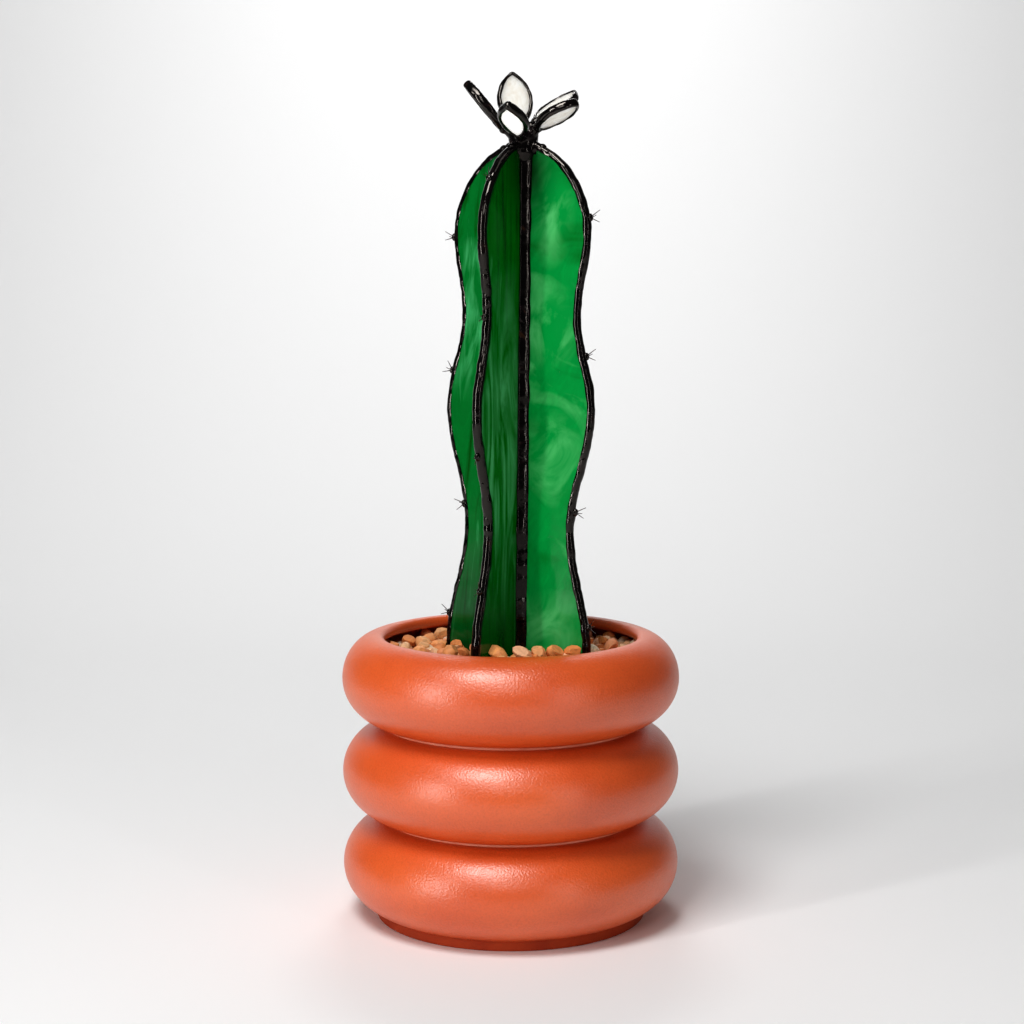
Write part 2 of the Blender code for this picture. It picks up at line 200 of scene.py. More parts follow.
def pot_inside():
    """The inside from the lip down to the floor: the same rings, a wall's thickness further in."""
    middle = POT_RADIUS - RING_BULGE
    half = RING_PITCH / 2
    lip = (POT_RADIUS - LIP_BULGE, ring_centre(RINGS - 1))
    points = arc(lip, LIP_BULGE - POT_WALL, LIP_RISE - POT_WALL, 90, 0, 10)
    for ring in (2, 1, 0):
        centre = (middle, ring_centre(ring))
        start = 0 if ring == RINGS - 1 else 90
        cuts = 10 if start == 0 else INNER_CUTS
        points += arc(centre, RING_BULGE - POT_WALL, half - POT_WALL, start, -90, cuts)
        if ring:
            points += arc((middle, centre[1] - half), POT_WALL, POT_WALL, 90, 270, 8)[1:-1]
    return points


foot_radius = POT_RADIUS - FOOT_INSET
foot_top = ring_centre(0) - RING_PITCH / 2 * math.sqrt(1 - (1 - FOOT_INSET / RING_BULGE) ** 2)
bpy.ops.object.select_all(action="DESELECT")
bpy.ops.mesh.primitive_circle_add(
    vertices=POT_SIDES,
    radius=foot_radius - FOOT_RING - FOOT_RECESS,
    fill_type="TRIFAN",
    location=(0.0, 0.0, FOOT_RECESS),
)
pot = bpy.context.active_object
pot.name = "ringed_pot"
bpy.ops.object.transform_apply(location=True, rotation=True, scale=True)
bpy.ops.object.mode_set(mode="EDIT")
bpy.ops.mesh.select_mode(type="EDGE")
bpy.ops.mesh.select_all(action="SELECT")
bpy.ops.mesh.region_to_loop()
underside = [(foot_radius - FOOT_RING, 0.0), (foot_radius - FOOT_ROUNDING, 0.0)]
rounding = (foot_radius - FOOT_ROUNDING, FOOT_ROUNDING)
underside += arc(rounding, FOOT_ROUNDING, FOOT_ROUNDING, -90, 0, 4)[1:]
underside += [(foot_radius, foot_top * 0.5), (foot_radius, foot_top * 0.9)]
edge_ring = pull_ring((foot_radius - FOOT_RING - FOOT_RECESS, FOOT_RECESS), underside)
edge_ring = pull_ring(edge_ring, pot_outside())
lip_roll = arc((POT_RADIUS - LIP_BULGE, LIP_TOP - POT_WALL / 2), POT_WALL / 2, POT_WALL / 2, 90, 270, 10)
edge_ring = pull_ring(edge_ring, lip_roll[1:-1])
edge_ring = pull_ring(edge_ring, pot_inside())
pull_ring(edge_ring, [(edge_ring[0] * 0.5, edge_ring[1]), (edge_ring[0] * 0.02, edge_ring[1])])
bpy.ops.mesh.merge(type="COLLAPSE")
bpy.ops.mesh.select_all(action="SELECT")
bpy.ops.mesh.normals_make_consistent(inside=False)
bpy.ops.object.mode_set(mode="OBJECT")
bpy.ops.object.shade_smooth_by_angle(angle=math.radians(40.0))

glaze = new_finish("terracotta_glaze", 0.4)
set_socket(glaze, "Specular IOR Level", 0.8)
set_socket(glaze, "IOR", 1.6)
still = own_place(glaze)
clouds = add_noise(glaze, still, 28.0, 4.0)
broad = add_ramp(glaze, clouds, [(0.3, paint(211, 88, 36)), (0.7, paint(223, 100, 44))])
grains = add_noise(glaze, still, 1300.0, 2.0)
sandy = add_ramp(glaze, grains, [(0.25, grey(0.9)), (0.5, grey(1.0)), (0.75, grey(1.06))])
to_shader(glaze, "Base Color", add_mix(glaze, broad, sandy, 1.0, "MULTIPLY"))
pores = add_bump(glaze, grains, 0.0003, 0.5)
waves = add_noise(glaze, still, 60.0, 2.0)
to_shader(glaze, "Normal", add_bump(glaze, waves, 0.0003, 0.14, pores))
worn = add_noise(glaze, still, 300.0, 3.0)
to_shader(glaze, "Roughness", add_ramp(glaze, worn, [(0.3, grey(0.325)), (0.7, grey(0.365))]))

bare_clay = new_finish("bare_clay", 0.8)
still = own_place(bare_clay)
clouds = add_noise(bare_clay, still, 60.0, 4.0)
sandy_clay = add_ramp(bare_clay, clouds, [(0.3, paint(158, 52, 14)), (0.7, paint(184, 72, 24))])
to_shader(bare_clay, "Base Color", sandy_clay)
grains = add_noise(bare_clay, still, 1300.0, 3.0)
to_shader(bare_clay, "Normal", add_bump(bare_clay, grains, 0.0002, 0.6))

# A pale glaze, painted as a highlight along the creases between the rings.
crease_highlight = new_finish("crease_highlight", 0.35)
still = own_place(crease_highlight)
clouds = add_noise(crease_highlight, still, 90.0, 3.0)
pale = add_ramp(crease_highlight, clouds, [(0.3, paint(240, 134, 96)), (0.7, paint(252, 172, 140))])
to_shader(crease_highlight, "Base Color", pale)

pot.data.materials.append(glaze)
pot.data.materials.append(bare_clay)
pot.data.materials.append(crease_highlight)
# The foot is bare, and along the creases between the rings a pale line is a painted highlight, standing in
# for the light that the crease's edge catches.
for face in pot.data.polygons:
    if face.center.z < foot_top:
        face.material_index = 1
    outside = math.hypot(face.center.x, face.center.y) > POT_RADIUS - RING_BULGE
    for ring in range(1, RINGS):
        from_crease = abs(face.center.z - FIRST_CREASE - RING_PITCH * ring)
        if outside and from_crease < CREASE_OPENING * 0.3 and abs(face.normal.z) < 0.3:
            face.material_index = 2
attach(pot, "root")
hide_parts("pot")


# The plaster plug. It is poured round the foot of the cactus once that is held upright in the pot.
# It sets rough and off-white, and is hidden by the gravel.
plaster = new_finish("cast_plaster", 0.9)
still = own_place(plaster)
clouds = add_noise(plaster, still, 90.0, 5.0)
chalk = add_ramp(plaster, clouds, [(0.3, paint(176, 150, 122)), (0.7, paint(206, 184, 156))])
to_shader(plaster, "Base Color", chalk)
pits = add_noise(plaster, still, 500.0, 4.0)
to_shader(plaster, "Normal", add_bump(plaster, pits, 0.0005, 0.8))
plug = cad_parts["plaster_plug"]
plug.data.materials.clear()
plug.data.materials.append(plaster)


# The gravel. Washed river stones of 4 to 6 mm, tan and peach with a few white and brown ones, are poured
# over the plaster and heaped a little against the fins.
GRAVEL_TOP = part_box("gravel_bed")[1].z
BED_RADIUS = 0.0545
FIN_REACH = 0.0345
FIN_HALF = 0.0023
HEAP = 0.0026
HEAP_WIDTH = 0.030
STONE_KINDS = 8
TRIES_PER_STONE = 30
STONE_TILT = 0.7
# Three layers from the bottom up: count, spacing, least and greatest depth, and least and greatest size.
GRAVEL_LAYERS = (
    (420, 0.0036, 0.0044, 0.0056, 0.0025, 0.0032),
    (300, 0.0046, 0.0012, 0.0028, 0.0026, 0.0035),
    (90, 0.0062, -0.0012, 0.0004, 0.0027, 0.0036),
)
# Larger stones that lean against the foot of the cactus: their place on the bed, size, lean and tone.
LEANING_STONES = (
    (-0.0050, -0.0212, 0.0036, 0.5, 0.86),
    (0.0046, -0.0232, 0.0037, 0.6, 0.6),
    (0.0108, -0.0215, 0.0034, 0.9, 0.3),
    (0.0168, -0.0196, 0.0038, 0.5, 0.84),
    (0.0238, -0.0190, 0.0037, 0.2, 0.14),
    (-0.0230, -0.0180, 0.0033, 0.4, 0.2),
)
LEANING_RISE = 0.0038


def plain_corners(node):
    """The different corners of a solid of the frame."""
    spots = np.array([vertex.co[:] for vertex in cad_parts[node].data.vertices])
    return np.unique(np.round(spots, 6), axis=0)


seam_corners = plain_corners("centre_seam")
seam_top = seam_corners[seam_corners[:, 2] > seam_corners[:, 2].max() - 0.002].mean(axis=0)
seam_bottom = seam_corners[seam_corners[:, 2] < seam_corners[:, 2].min() + 0.002].mean(axis=0)
cactus_up = Vector(seam_top - seam_bottom).normalized()
cactus_foot = Vector(seam_bottom) + cactus_up * ((GRAVEL_TOP - seam_bottom[2]) / cactus_up.z)
FIN_NAMES = ("right", "front", "left", "back")
fin_ways = {}
for name in FIN_NAMES:
    out = Vector(plain_corners(f"fin_glass_{name}").mean(axis=0)) - cactus_foot
    out = out - cactus_up * out.dot(cactus_up)
    fin_ways[name] = out.normalized()

random.seed(11)
stone_kinds = []
for kind in range(STONE_KINDS):
    bpy.ops.object.select_all(action="DESELECT")
    bpy.ops.mesh.primitive_ico_sphere_add(subdivisions=2, radius=1.0)
    stone = bpy.context.active_object
    bpy.ops.object.mode_set(mode="EDIT")
    bpy.ops.mesh.select_all(action="SELECT")
    long = random.uniform(1.0, 1.35)
    flat = random.uniform(0.62, 0.85)
    bpy.ops.transform.resize(value=(long, 0.95, flat))
    for _ in range(7 if kind % 2 else 5):
        bpy.ops.mesh.select_all(action="SELECT")
        way = Vector([random.uniform(-1.0, 1.0) for _ in range(3)]).normalized()
        reach = math.sqrt((way.x * long) ** 2 + (way.y * 0.95) ** 2 + (way.z * flat) ** 2)
        depth = reach * random.uniform(0.54, 0.76)
        bpy.ops.mesh.bisect(plane_co=way * depth, plane_no=way, use_fill=True, clear_outer=True)
    bpy.ops.mesh.select_all(action="SELECT")
    bpy.ops.mesh.remove_doubles(threshold=0.12)
    bpy.ops.mesh.quads_convert_to_tris()
    bpy.ops.mesh.vertices_smooth(factor=0.08, repeat=1)
    bpy.ops.mesh.normals_make_consistent(inside=False)
    bpy.ops.object.mode_set(mode="OBJECT")
    bpy.ops.object.shade_smooth_by_angle(angle=math.radians(30.0))
    stone_kinds.append(stone)


def over_fin(x, y, room):
    """Whether a spot on the bed is nearer to a fin than the given room."""
    offset = Vector((x - cactus_foot.x, y - cactus_foot.y, 0.0))
    for way in fin_ways.values():
        along = offset.dot(way)
        across = abs(offset.x * way.y - offset.y * way.x)
        if -0.003 < along < FIN_REACH + room / 2 and across < FIN_HALF + room:
            return True
    return False


def lay_stone(spot, turn, size, tone):
    """A copy of one of the kinds of stone, in its place, with its own tone."""
    stone = random.choice(stone_kinds)
    copy = bpy.data.objects.new("stone", stone.data.copy())
    bpy.context.scene.collection.objects.link(copy)
    place = Matrix.Translation(spot) @ turn.to_4x4() @ Matrix.Scale(size, 4)
    copy.data.transform(place)
    colour = copy.data.attributes.new("stone_tone", "FLOAT", "POINT")
    colour.data.foreach_set("value", [tone] * len(copy.data.vertices))
    return copy


def scatter(count, spacing, low, high, smallest, largest):
    """Stones dropped at random, each with room of its own, between two heights below the surface."""
    laid = []
    spots = []
    for _ in range(count * TRIES_PER_STONE):
        if len(laid) == count:
            break
        away = BED_RADIUS * math.sqrt(random.random())
        angle = random.uniform(0.0, math.tau)
        x = away * math.cos(angle)
        y = away * math.sin(angle)
        size = random.uniform(smallest, largest)
        if over_fin(x, y, size * 0.75) or any(math.dist((x, y), other) < spacing for other in spots):
            continue
        spots.append((x, y))
        nearness = math.dist((x, y), (cactus_foot.x, cactus_foot.y)) / HEAP_WIDTH
        surface = GRAVEL_TOP + HEAP * math.exp(-(nearness**2))
        height = surface - random.uniform(low, high)
        lean = Matrix.Rotation(random.uniform(-STONE_TILT, STONE_TILT), 3, "X")
        roll = Matrix.Rotation(random.uniform(-STONE_TILT, STONE_TILT), 3, "Y")
        turn = Matrix.Rotation(random.uniform(0.0, 6.0), 3, "Z") @ lean @ roll
        laid.append(lay_stone(Vector((x, y, height)), turn, size, random.random()))
    return laid


stones = []
for layer in GRAVEL_LAYERS:
    stones += scatter(*layer)
for x, y, size, lean, tone in LEANING_STONES:
    turn = Matrix.Rotation(x * 90.0, 3, "Z") @ Matrix.Rotation(lean, 3, "Y")
    stones.append(lay_stone(Vector((x, y, GRAVEL_TOP + LEANING_RISE)), turn, size, tone))
for stone in stone_kinds:
    bpy.data.objects.remove(stone, do_unlink=True)
bpy.ops.object.select_all(action="DESELECT")
for stone in stones:
    stone.select_set(True)
bpy.context.view_layer.objects.active = stones[0]
bpy.ops.object.join()
gravel = bpy.context.active_object
gravel.name = "gravel_stones"

river_stone = new_finish("tan_gravel", 0.62)
tone = river_stone.node_tree.nodes.new("ShaderNodeAttribute")
tone.attribute_name = "stone_tone"
stone_colours = [
    (0.0, paint(176, 106, 66)),
    (0.14, paint(222, 140, 78)),
    (0.32, paint(232, 172, 118)),
    (0.52, paint(242, 198, 158)),
    (0.7, paint(224, 146, 102)),
    (0.86, paint(236, 160, 98)),
    (0.93, paint(248, 226, 200)),
]
by_stone = add_ramp(river_stone, tone.outputs["Fac"], stone_colours)
still = own_place(river_stone)
veins = add_noise(river_stone, still, 420.0, 4.0, 0.6)
dusty = add_ramp(river_stone, veins, [(0.3, grey(0.72)), (0.55, grey(1.0)), (0.8, grey(1.12))])
to_shader(river_stone, "Base Color", add_mix(river_stone, by_stone, dusty, 1.0, "MULTIPLY"))
grit = add_noise(river_stone, still, 1600.0, 3.0)
to_shader(river_stone, "Normal", add_bump(river_stone, grit, 0.0002, 0.6))
gravel.data.materials.clear()
gravel.data.materials.append(river_stone)
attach(gravel, "root")
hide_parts("gravel_bed")


# The four glass fins. Each is cut from a rolled sheet of streaky green glass, 3 mm thick, and ground at its
# edge. The sheet runs from emerald to deep green, with wisps of white and blue-green that were stirred in.
# For each fin, how its streaks are drawn out and turned, then its deep, main and wispy colours.
# The darker greens of the front and left fins are partly painted shade, for the front fin's grazing angle
# and the shadow it casts on the left fin.
FIN_STREAKS_AND_SHADE = {
    "right": ((1.0, 1.0, 0.62), (0.0, 0.5, -0.56), (0, 100, 28), (0, 143, 63), (84, 182, 108)),
    "front": ((0.16, 0.16, 2.2), (0.0, 0.0, 0.0), (0, 66, 0), (0, 106, 10), (84, 172, 112)),
    "left": ((0.16, 0.16, 1.4), (0.0, 0.14, 0.0), (0, 76, 10), (0, 110, 42), (66, 162, 100)),
    "back": ((0.5, 0.5, 0.9), (0.0, 0.3, 0.9), (0, 102, 28), (0, 142, 62), (76, 176, 104)),
}
# Where the wisps gather: fin, distance from the middle, height, and reach out and up.
WISPS = {
    "right": (
        (0.013, 0.172, 0.012, 0.024),
        (0.012, 0.128, 0.018, 0.018),
        (0.016, 0.075, 0.020, 0.022),
        (0.020, 0.012, 0.022, 0.016),
    ),
    "front": ((0.014, 0.082, 0.030, 0.072),),
    "left": ((0.020, 0.124, 0.020, 0.028), (0.022, 0.150, 0.010, 0.012)),
    "back": ((0.016, 0.150, 0.020, 0.030), (0.016, 0.060, 0.020, 0.030)),
}
HEIGHT_OF_FINS = 0.193
# How dark the painted shade makes the glass under the hub, and near the gravel.
TOP_SHADE = 0.28
FOOT_SHADE = {"right": 0.9, "front": 0.74, "left": 0.5, "back": 0.7}


def add_patch(finish, centre, reach):
    """A soft patch of the piece, from 1 at its centre down to 0 at its reach."""
    nodes = finish.node_tree.nodes
    place = nodes.new("ShaderNodeTexCoord")
    mapping = nodes.new("ShaderNodeMapping")
    mapping.vector_type = "TEXTURE"
    mapping.inputs["Location"].default_value = centre
    mapping.inputs["Scale"].default_value = reach
    patch = nodes.new("ShaderNodeTexGradient")
    patch.gradient_type = "SPHERICAL"
    finish.node_tree.links.new(place.outputs["Object"], mapping.inputs["Vector"])
    finish.node_tree.links.new(mapping.outputs["Vector"], patch.inputs["Vector"])
    return patch.outputs["Fac"]


def on_fin(name, out, rise):
    return cactus_foot + fin_ways[name] * out + cactus_up * rise


for name, (stretch, turn, deep, main, wisp) in FIN_STREAKS_AND_SHADE.items():
    green = new_finish(f"green_glass_{name}", 0.1)
    set_socket(green, "IOR", 1.38)
    place = own_place(green, stretch, turn)
    streaks = add_noise(green, place, 20.0, 4.0, 2.2)
    stops = [(0.30, paint(*deep)), (0.47, paint(*main)), (0.60, paint(*main)), (0.76, paint(*wisp))]
    body = add_ramp(green, streaks, stops)
    fine = add_noise(green, own_place(green, (0.3, 0.3, 0.8), turn), 90.0, 3.0, 2.0)
    threads = add_ramp(green, fine, [(0.3, grey(0.86)), (0.6, grey(1.0)), (0.85, grey(1.2))])
    colour = add_mix(green, body, threads, 0.8, "MULTIPLY")
    drawn_out = (0.3, 0.3, 1.8) if name in ("front", "left") else (0.8, 0.8, 0.9)
    swirl = add_noise(green, own_place(green, drawn_out, turn), 32.0, 4.0, 2.2)
    wisps = add_ramp(green, swirl, [(0.4, paint(*main)), (0.66, paint(*wisp))])
    for out, rise, wide, tall in WISPS[name]:
        spot = add_patch(green, on_fin(name, out, rise), (wide, wide, tall))
        shown = add_ramp(green, spot, [(0.0, grey(0.0)), (0.6, grey(1.0))])
        colour = add_mix(green, colour, wisps, shown)
    # Painted shade: the glass is darkened under the hub and towards the gravel.
    shade = add_patch(green, on_fin(name, 0.0, HEIGHT_OF_FINS + 0.006), (0.022, 0.022, 0.045))
    darker = add_ramp(green, shade, [(0.1, grey(1.0)), (0.75, grey(TOP_SHADE))])
    colour = add_mix(green, colour, darker, 1.0, "MULTIPLY")
    foot_shade = add_patch(green, on_fin(name, 0.020, -0.006), (0.040, 0.040, 0.060))
    darker = add_ramp(green, foot_shade, [(0.05, grey(1.0)), (0.8, grey(FOOT_SHADE[name]))])
    to_shader(green, "Base Color", add_mix(green, colour, darker, 1.0, "MULTIPLY"))
    rolled = add_noise(green, own_place(green), 45.0, 2.0)
    to_shader(green, "Normal", add_bump(green, rolled, 0.0012, 0.3))
    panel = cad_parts[f"fin_glass_{name}"]
    panel.data.materials.clear()
    panel.data.materials.append(green)


# Foil and solder round each fin. Copper foil is folded over the ground edge and built up with a rounded
# bead of solder, run on by hand, so it is lumpy. It is blackened with patina, brown where that is thin.
RIM_BORDER = 0.0024
RIM_HALF = 0.00205
RIM_SHELL = 0.0003
RIM_CROWN = 0.0007
LUMP_SIZE = 0.0055
LUMP_HEIGHT = 0.0008


def solder_finish(name, shine, density):
    """Patinated solder: black, with brown and plum where the black is thin, and dull only in patches."""
    solder = new_finish(name, shine)
    set_socket(solder, "IOR", density)
    set_socket(solder, "Specular Tint", paint(255, 244, 234))
    still = own_place(solder)
    patches = add_noise(solder, still, 210.0, 4.0, 0.8)
    stops = [
        (0.42, paint(3, 2, 3)),
        (0.56, paint(9, 6, 8)),
        (0.66, paint(24, 15, 18)),
        (0.76, paint(50, 32, 20)),
    ]
    to_shader(solder, "Base Color", add_ramp(solder, patches, stops))
    crusts = add_noise(solder, still, 260.0, 3.0)
    dull = add_ramp(solder, crusts, [(0.5, grey(shine)), (0.75, grey(shine + 0.25))])
    to_shader(solder, "Roughness", dull)
    lumps = add_noise(solder, still, 240.0, 2.0, 0.4)
    to_shader(solder, "Normal", add_bump(solder, lumps, 0.0004, 0.35))
    return solder


def bezier_path(name, points, closed=False, steps=8):
    """A smooth curve through a list of places in the flat."""
    bpy.ops.object.select_all(action="DESELECT")
    bpy.ops.curve.primitive_bezier_curve_add()
    path = bpy.context.active_object
    path.name = name
    spline = path.data.splines[0]
    spline.bezier_points.add(len(points) - len(spline.bezier_points))
    for knot, place in zip(spline.bezier_points, points):
        knot.co = (place[0], place[1], 0.0)
        knot.handle_left_type = "AUTO"
        knot.handle_right_type = "AUTO"
    spline.use_cyclic_u = closed
    path.data.dimensions = "3D"
    path.data.twist_mode = "Z_UP"
    path.data.resolution_u = steps
    return path


def set_corners(path, corners):
    """Gives a section its corners, each with the handles before and after it."""
    for knot, (place, before, after) in zip(path.data.splines[0].bezier_points, corners):
        knot.handle_left_type = "FREE"
        knot.handle_right_type = "FREE"
        knot.co = (*place, 0.0)
        knot.handle_left = (*before, 0.0)
        knot.handle_right = (*after, 0.0)


def sweep(path, section, caps=False):
    """Carries a section along a path and leaves it as a mesh."""
    path.data.bevel_mode = "OBJECT"
    path.data.bevel_object = section
    path.data.use_fill_caps = caps
    bpy.ops.object.select_all(action="DESELECT")
    path.select_set(True)
    bpy.context.view_layer.objects.active = path
    bpy.ops.object.convert(target="MESH")
    made = bpy.context.active_object
    bpy.data.objects.remove(section, do_unlink=True)
    return made


def select_only(*pieces):
    bpy.ops.object.select_all(action="DESELECT")
    for piece in pieces:
        piece.select_set(True)
    bpy.context.view_layer.objects.active = pieces[0]


def clean_up(piece, sharpest=60.0):
    """Merges doubled corners, turns the faces outwards and shades the piece smooth."""
    select_only(piece)
    bpy.ops.object.mode_set(mode="EDIT")
    bpy.ops.mesh.select_all(action="SELECT")
    bpy.ops.mesh.remove_doubles(threshold=0.000005)
    bpy.ops.mesh.normals_make_consistent(inside=False)
    bpy.ops.object.mode_set(mode="OBJECT")
    bpy.ops.object.shade_smooth_by_angle(angle=math.radians(sharpest))


def apply_modifier(piece, modifier):
    select_only(piece)
    bpy.ops.object.modifier_apply(modifier=modifier.name)


def thicken(piece, wall):
    modifier = piece.modifiers.new("wall", "SOLIDIFY")
    modifier.thickness = wall
    modifier.offset = -1.0
    apply_modifier(piece, modifier)


def raise_lumps(piece, height, size):
    """Lets the solder stand up in soft lumps."""
    pattern = bpy.data.textures.new("solder_lumps", "CLOUDS")
    pattern.noise_scale = size
    pattern.noise_depth = 1
    modifier = piece.modifiers.new("lumps", "DISPLACE")
    modifier.texture = pattern
    modifier.texture_coords = "GLOBAL"
    modifier.strength = height
    modifier.mid_level = 0.55
    apply_modifier(piece, modifier)


def stand(piece, place):
    """Sets a piece that was made lying flat into its place, and leaves its object at the origin."""
    select_only(piece)
    piece.matrix_world = place
    bpy.ops.object.transform_apply(location=True, rotation=True, scale=True)


def frame_of(origin, along, up):
    """A place whose X runs along a piece, and whose Y is its other flat direction."""
    across = up - along * up.dot(along)
    across.normalize()
    face = along.cross(across)
    axes = Matrix((along, across, face)).transposed().to_4x4()
    return Matrix.Translation(origin) @ axes


def finish_piece(piece, material, node):
    piece.data.materials.clear()
    piece.data.materials.append(material)
    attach(piece, "root")
    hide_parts(node)


fin_places = {name: frame_of(cactus_foot, way, cactus_up) for name, way in fin_ways.items()}
rim_solder = solder_finish("rim_solder", 0.08, 1.5)
bead_top = RIM_HALF * 0.88
bead_swell = RIM_HALF * 1.28
fin_edges = {}
for name in FIN_NAMES:
    into_fin = fin_places[name].inverted()
    edge = [into_fin @ Vector(corner) for corner in plain_corners(f"fin_rim_{name}")]
    fin_edges[name] = sorted((spot for spot in edge if abs(spot.z) < 0.0001), key=lambda spot: spot.y)
    path = bezier_path(f"solder_rim_{name}", fin_edges[name], steps=9)
    section = bezier_path("section", [(0.0, 0.0), (0.0, 0.0)], steps=12)
    upper = (-RIM_BORDER, bead_top)
    lower = (-RIM_BORDER, -bead_top)
    corners = [(upper, upper, (RIM_CROWN, bead_swell)), (lower, (RIM_CROWN, -bead_swell), lower)]
    set_corners(section, corners)
    rim = sweep(path, section)
    clean_up(rim)
    thicken(rim, RIM_SHELL)
    stand(rim, fin_places[name])
    raise_lumps(rim, LUMP_HEIGHT, LUMP_SIZE)
    clean_up(rim)
    finish_piece(rim, rim_solder, f"fin_rim_{name}")


# The centre seam. The four fins meet at the middle, and a bead of solder is run down each inside corner,
# with a narrow wing of foil on the glass at either side of it.
SEAM_REACH = 0.0049
SEAM_FACE = 0.0018
SEAM_CROWN = 0.0033
SEAM_TURN = 0.0011
SEAM_FEATHER = 0.001
SEAM_SWELL = (0.0008, 0.0003)
SEAM_ROUNDING = 0.0005
SEAM_STEP = 0.006
SEAM_LUMPS = (0.0004, 0.008)
SEAM_PAIRS = (("right", "front"), ("front", "left"), ("left", "back"), ("back", "right"))
seam_solder = solder_finish("seam_solder", 0.1, 1.36)
seam_low = (Vector(seam_bottom) - cactus_foot).dot(cactus_up)
seam_high = (Vector(seam_top) - cactus_foot).dot(cactus_up)
seam_count = round((seam_high - seam_low) / SEAM_STEP)
random.seed(5)
seam_beads = []
for first, second in SEAM_PAIRS:
    knots = []
    for step in range(seam_count + 1):
        rise = seam_low + (seam_high - seam_low) * step / seam_count
        knots.append((rise, random.uniform(-0.0001, 0.0001)))
    path = bezier_path("centre_seam_solder", knots, steps=8)
    for knot in path.data.splines[0].bezier_points:
        knot.radius = random.uniform(0.96, 1.04)
    section = bezier_path("section", [(0.0, 0.0)] * 4, closed=True, steps=8)
    reach = SEAM_REACH
    face = SEAM_FACE
    back, proud = SEAM_SWELL
    down = SEAM_CROWN - SEAM_TURN
    up = SEAM_CROWN + SEAM_TURN
    corners = [
        ((reach, face), (reach - SEAM_FEATHER, face), (reach - back, face + proud)),
        ((SEAM_CROWN, SEAM_CROWN), (up, down), (down, up)),
        ((face, reach), (face + proud, reach - back), (face, reach - SEAM_FEATHER)),
        ((face, face), (face, face + SEAM_ROUNDING), (face + SEAM_ROUNDING, face)),
    ]
    set_corners(section, corners)
    bead = sweep(path, section, caps=True)
    axes = Matrix((cactus_up, -fin_ways[first], fin_ways[second])).transposed().to_4x4()
    stand(bead, Matrix.Translation(cactus_foot) @ axes)
    clean_up(bead, 70.0)
    raise_lumps(bead, *SEAM_LUMPS)
    seam_beads.append(bead)
select_only(*seam_beads)
bpy.ops.object.join()
seam = bpy.context.active_object
seam.name = "centre_seam_solder"
clean_up(seam, 70.0)
finish_piece(seam, seam_solder, "centre_seam")


# The spines. Short ends of thin steel wire are twisted together in twos and threes and held on the edge of
# a fin by a drop of solder.
WIRE_RADIUS = 0.00019
WIRE_LENGTH = 0.0046
DROP_RADIUS = 0.00125
spine_steel = new_finish("spine_steel", 0.3)
set_socket(spine_steel, "Coat Weight", 0.3)
still = own_place(spine_steel)
rust = add_noise(spine_steel, still, 700.0, 3.0)
steel_tones = [(0.35, paint(20, 15, 16)), (0.6, paint(64, 44, 38)), (0.8, paint(120, 92, 76))]
to_shader(spine_steel, "Base Color", add_ramp(spine_steel, rust, steel_tones))
to_shader(spine_steel, "Normal", add_bump(spine_steel, rust, 0.0002, 0.5))


def draw_wire(spread, roll, length):
    """One end of wire from the drop outwards along X, bent away from it by two angles."""
    bpy.ops.object.select_all(action="DESELECT")
    bpy.ops.mesh.primitive_cylinder_add(vertices=8, radius=WIRE_RADIUS, depth=length * 0.3)
    wire = bpy.context.active_object
    wire.data.transform(Matrix.Translation((0.0, 0.0, length * 0.15)))
    bpy.ops.object.mode_set(mode="EDIT")
    bpy.ops.mesh.select_mode(type="FACE")
    bpy.ops.mesh.select_all(action="DESELECT")
    bpy.ops.object.mode_set(mode="OBJECT")
    for cap in wire.data.polygons:
        cap.select = cap.normal.z > 0.9
    bpy.ops.object.mode_set(mode="EDIT")
    for step in range(3):
        bpy.ops.mesh.extrude_region_move()
        bpy.ops.transform.translate(value=(WIRE_RADIUS * (0.3 + 0.25 * step), 0.0, length * 0.23))
        centre = (WIRE_RADIUS * 0.5 * (step + 1), 0.0, length * (0.53 + 0.23 * step))
        bpy.ops.transform.resize(value=(0.86, 0.86, 1.0), center_override=centre)
    bpy.ops.object.mode_set(mode="OBJECT")
    outwards = Matrix.Rotation(math.radians(90.0), 4, "Y")
    bend = Matrix.Rotation(roll, 4, "X") @ Matrix.Rotation(spread, 4, "Z")
    wire.data.transform(bend @ outwards)
    return wire


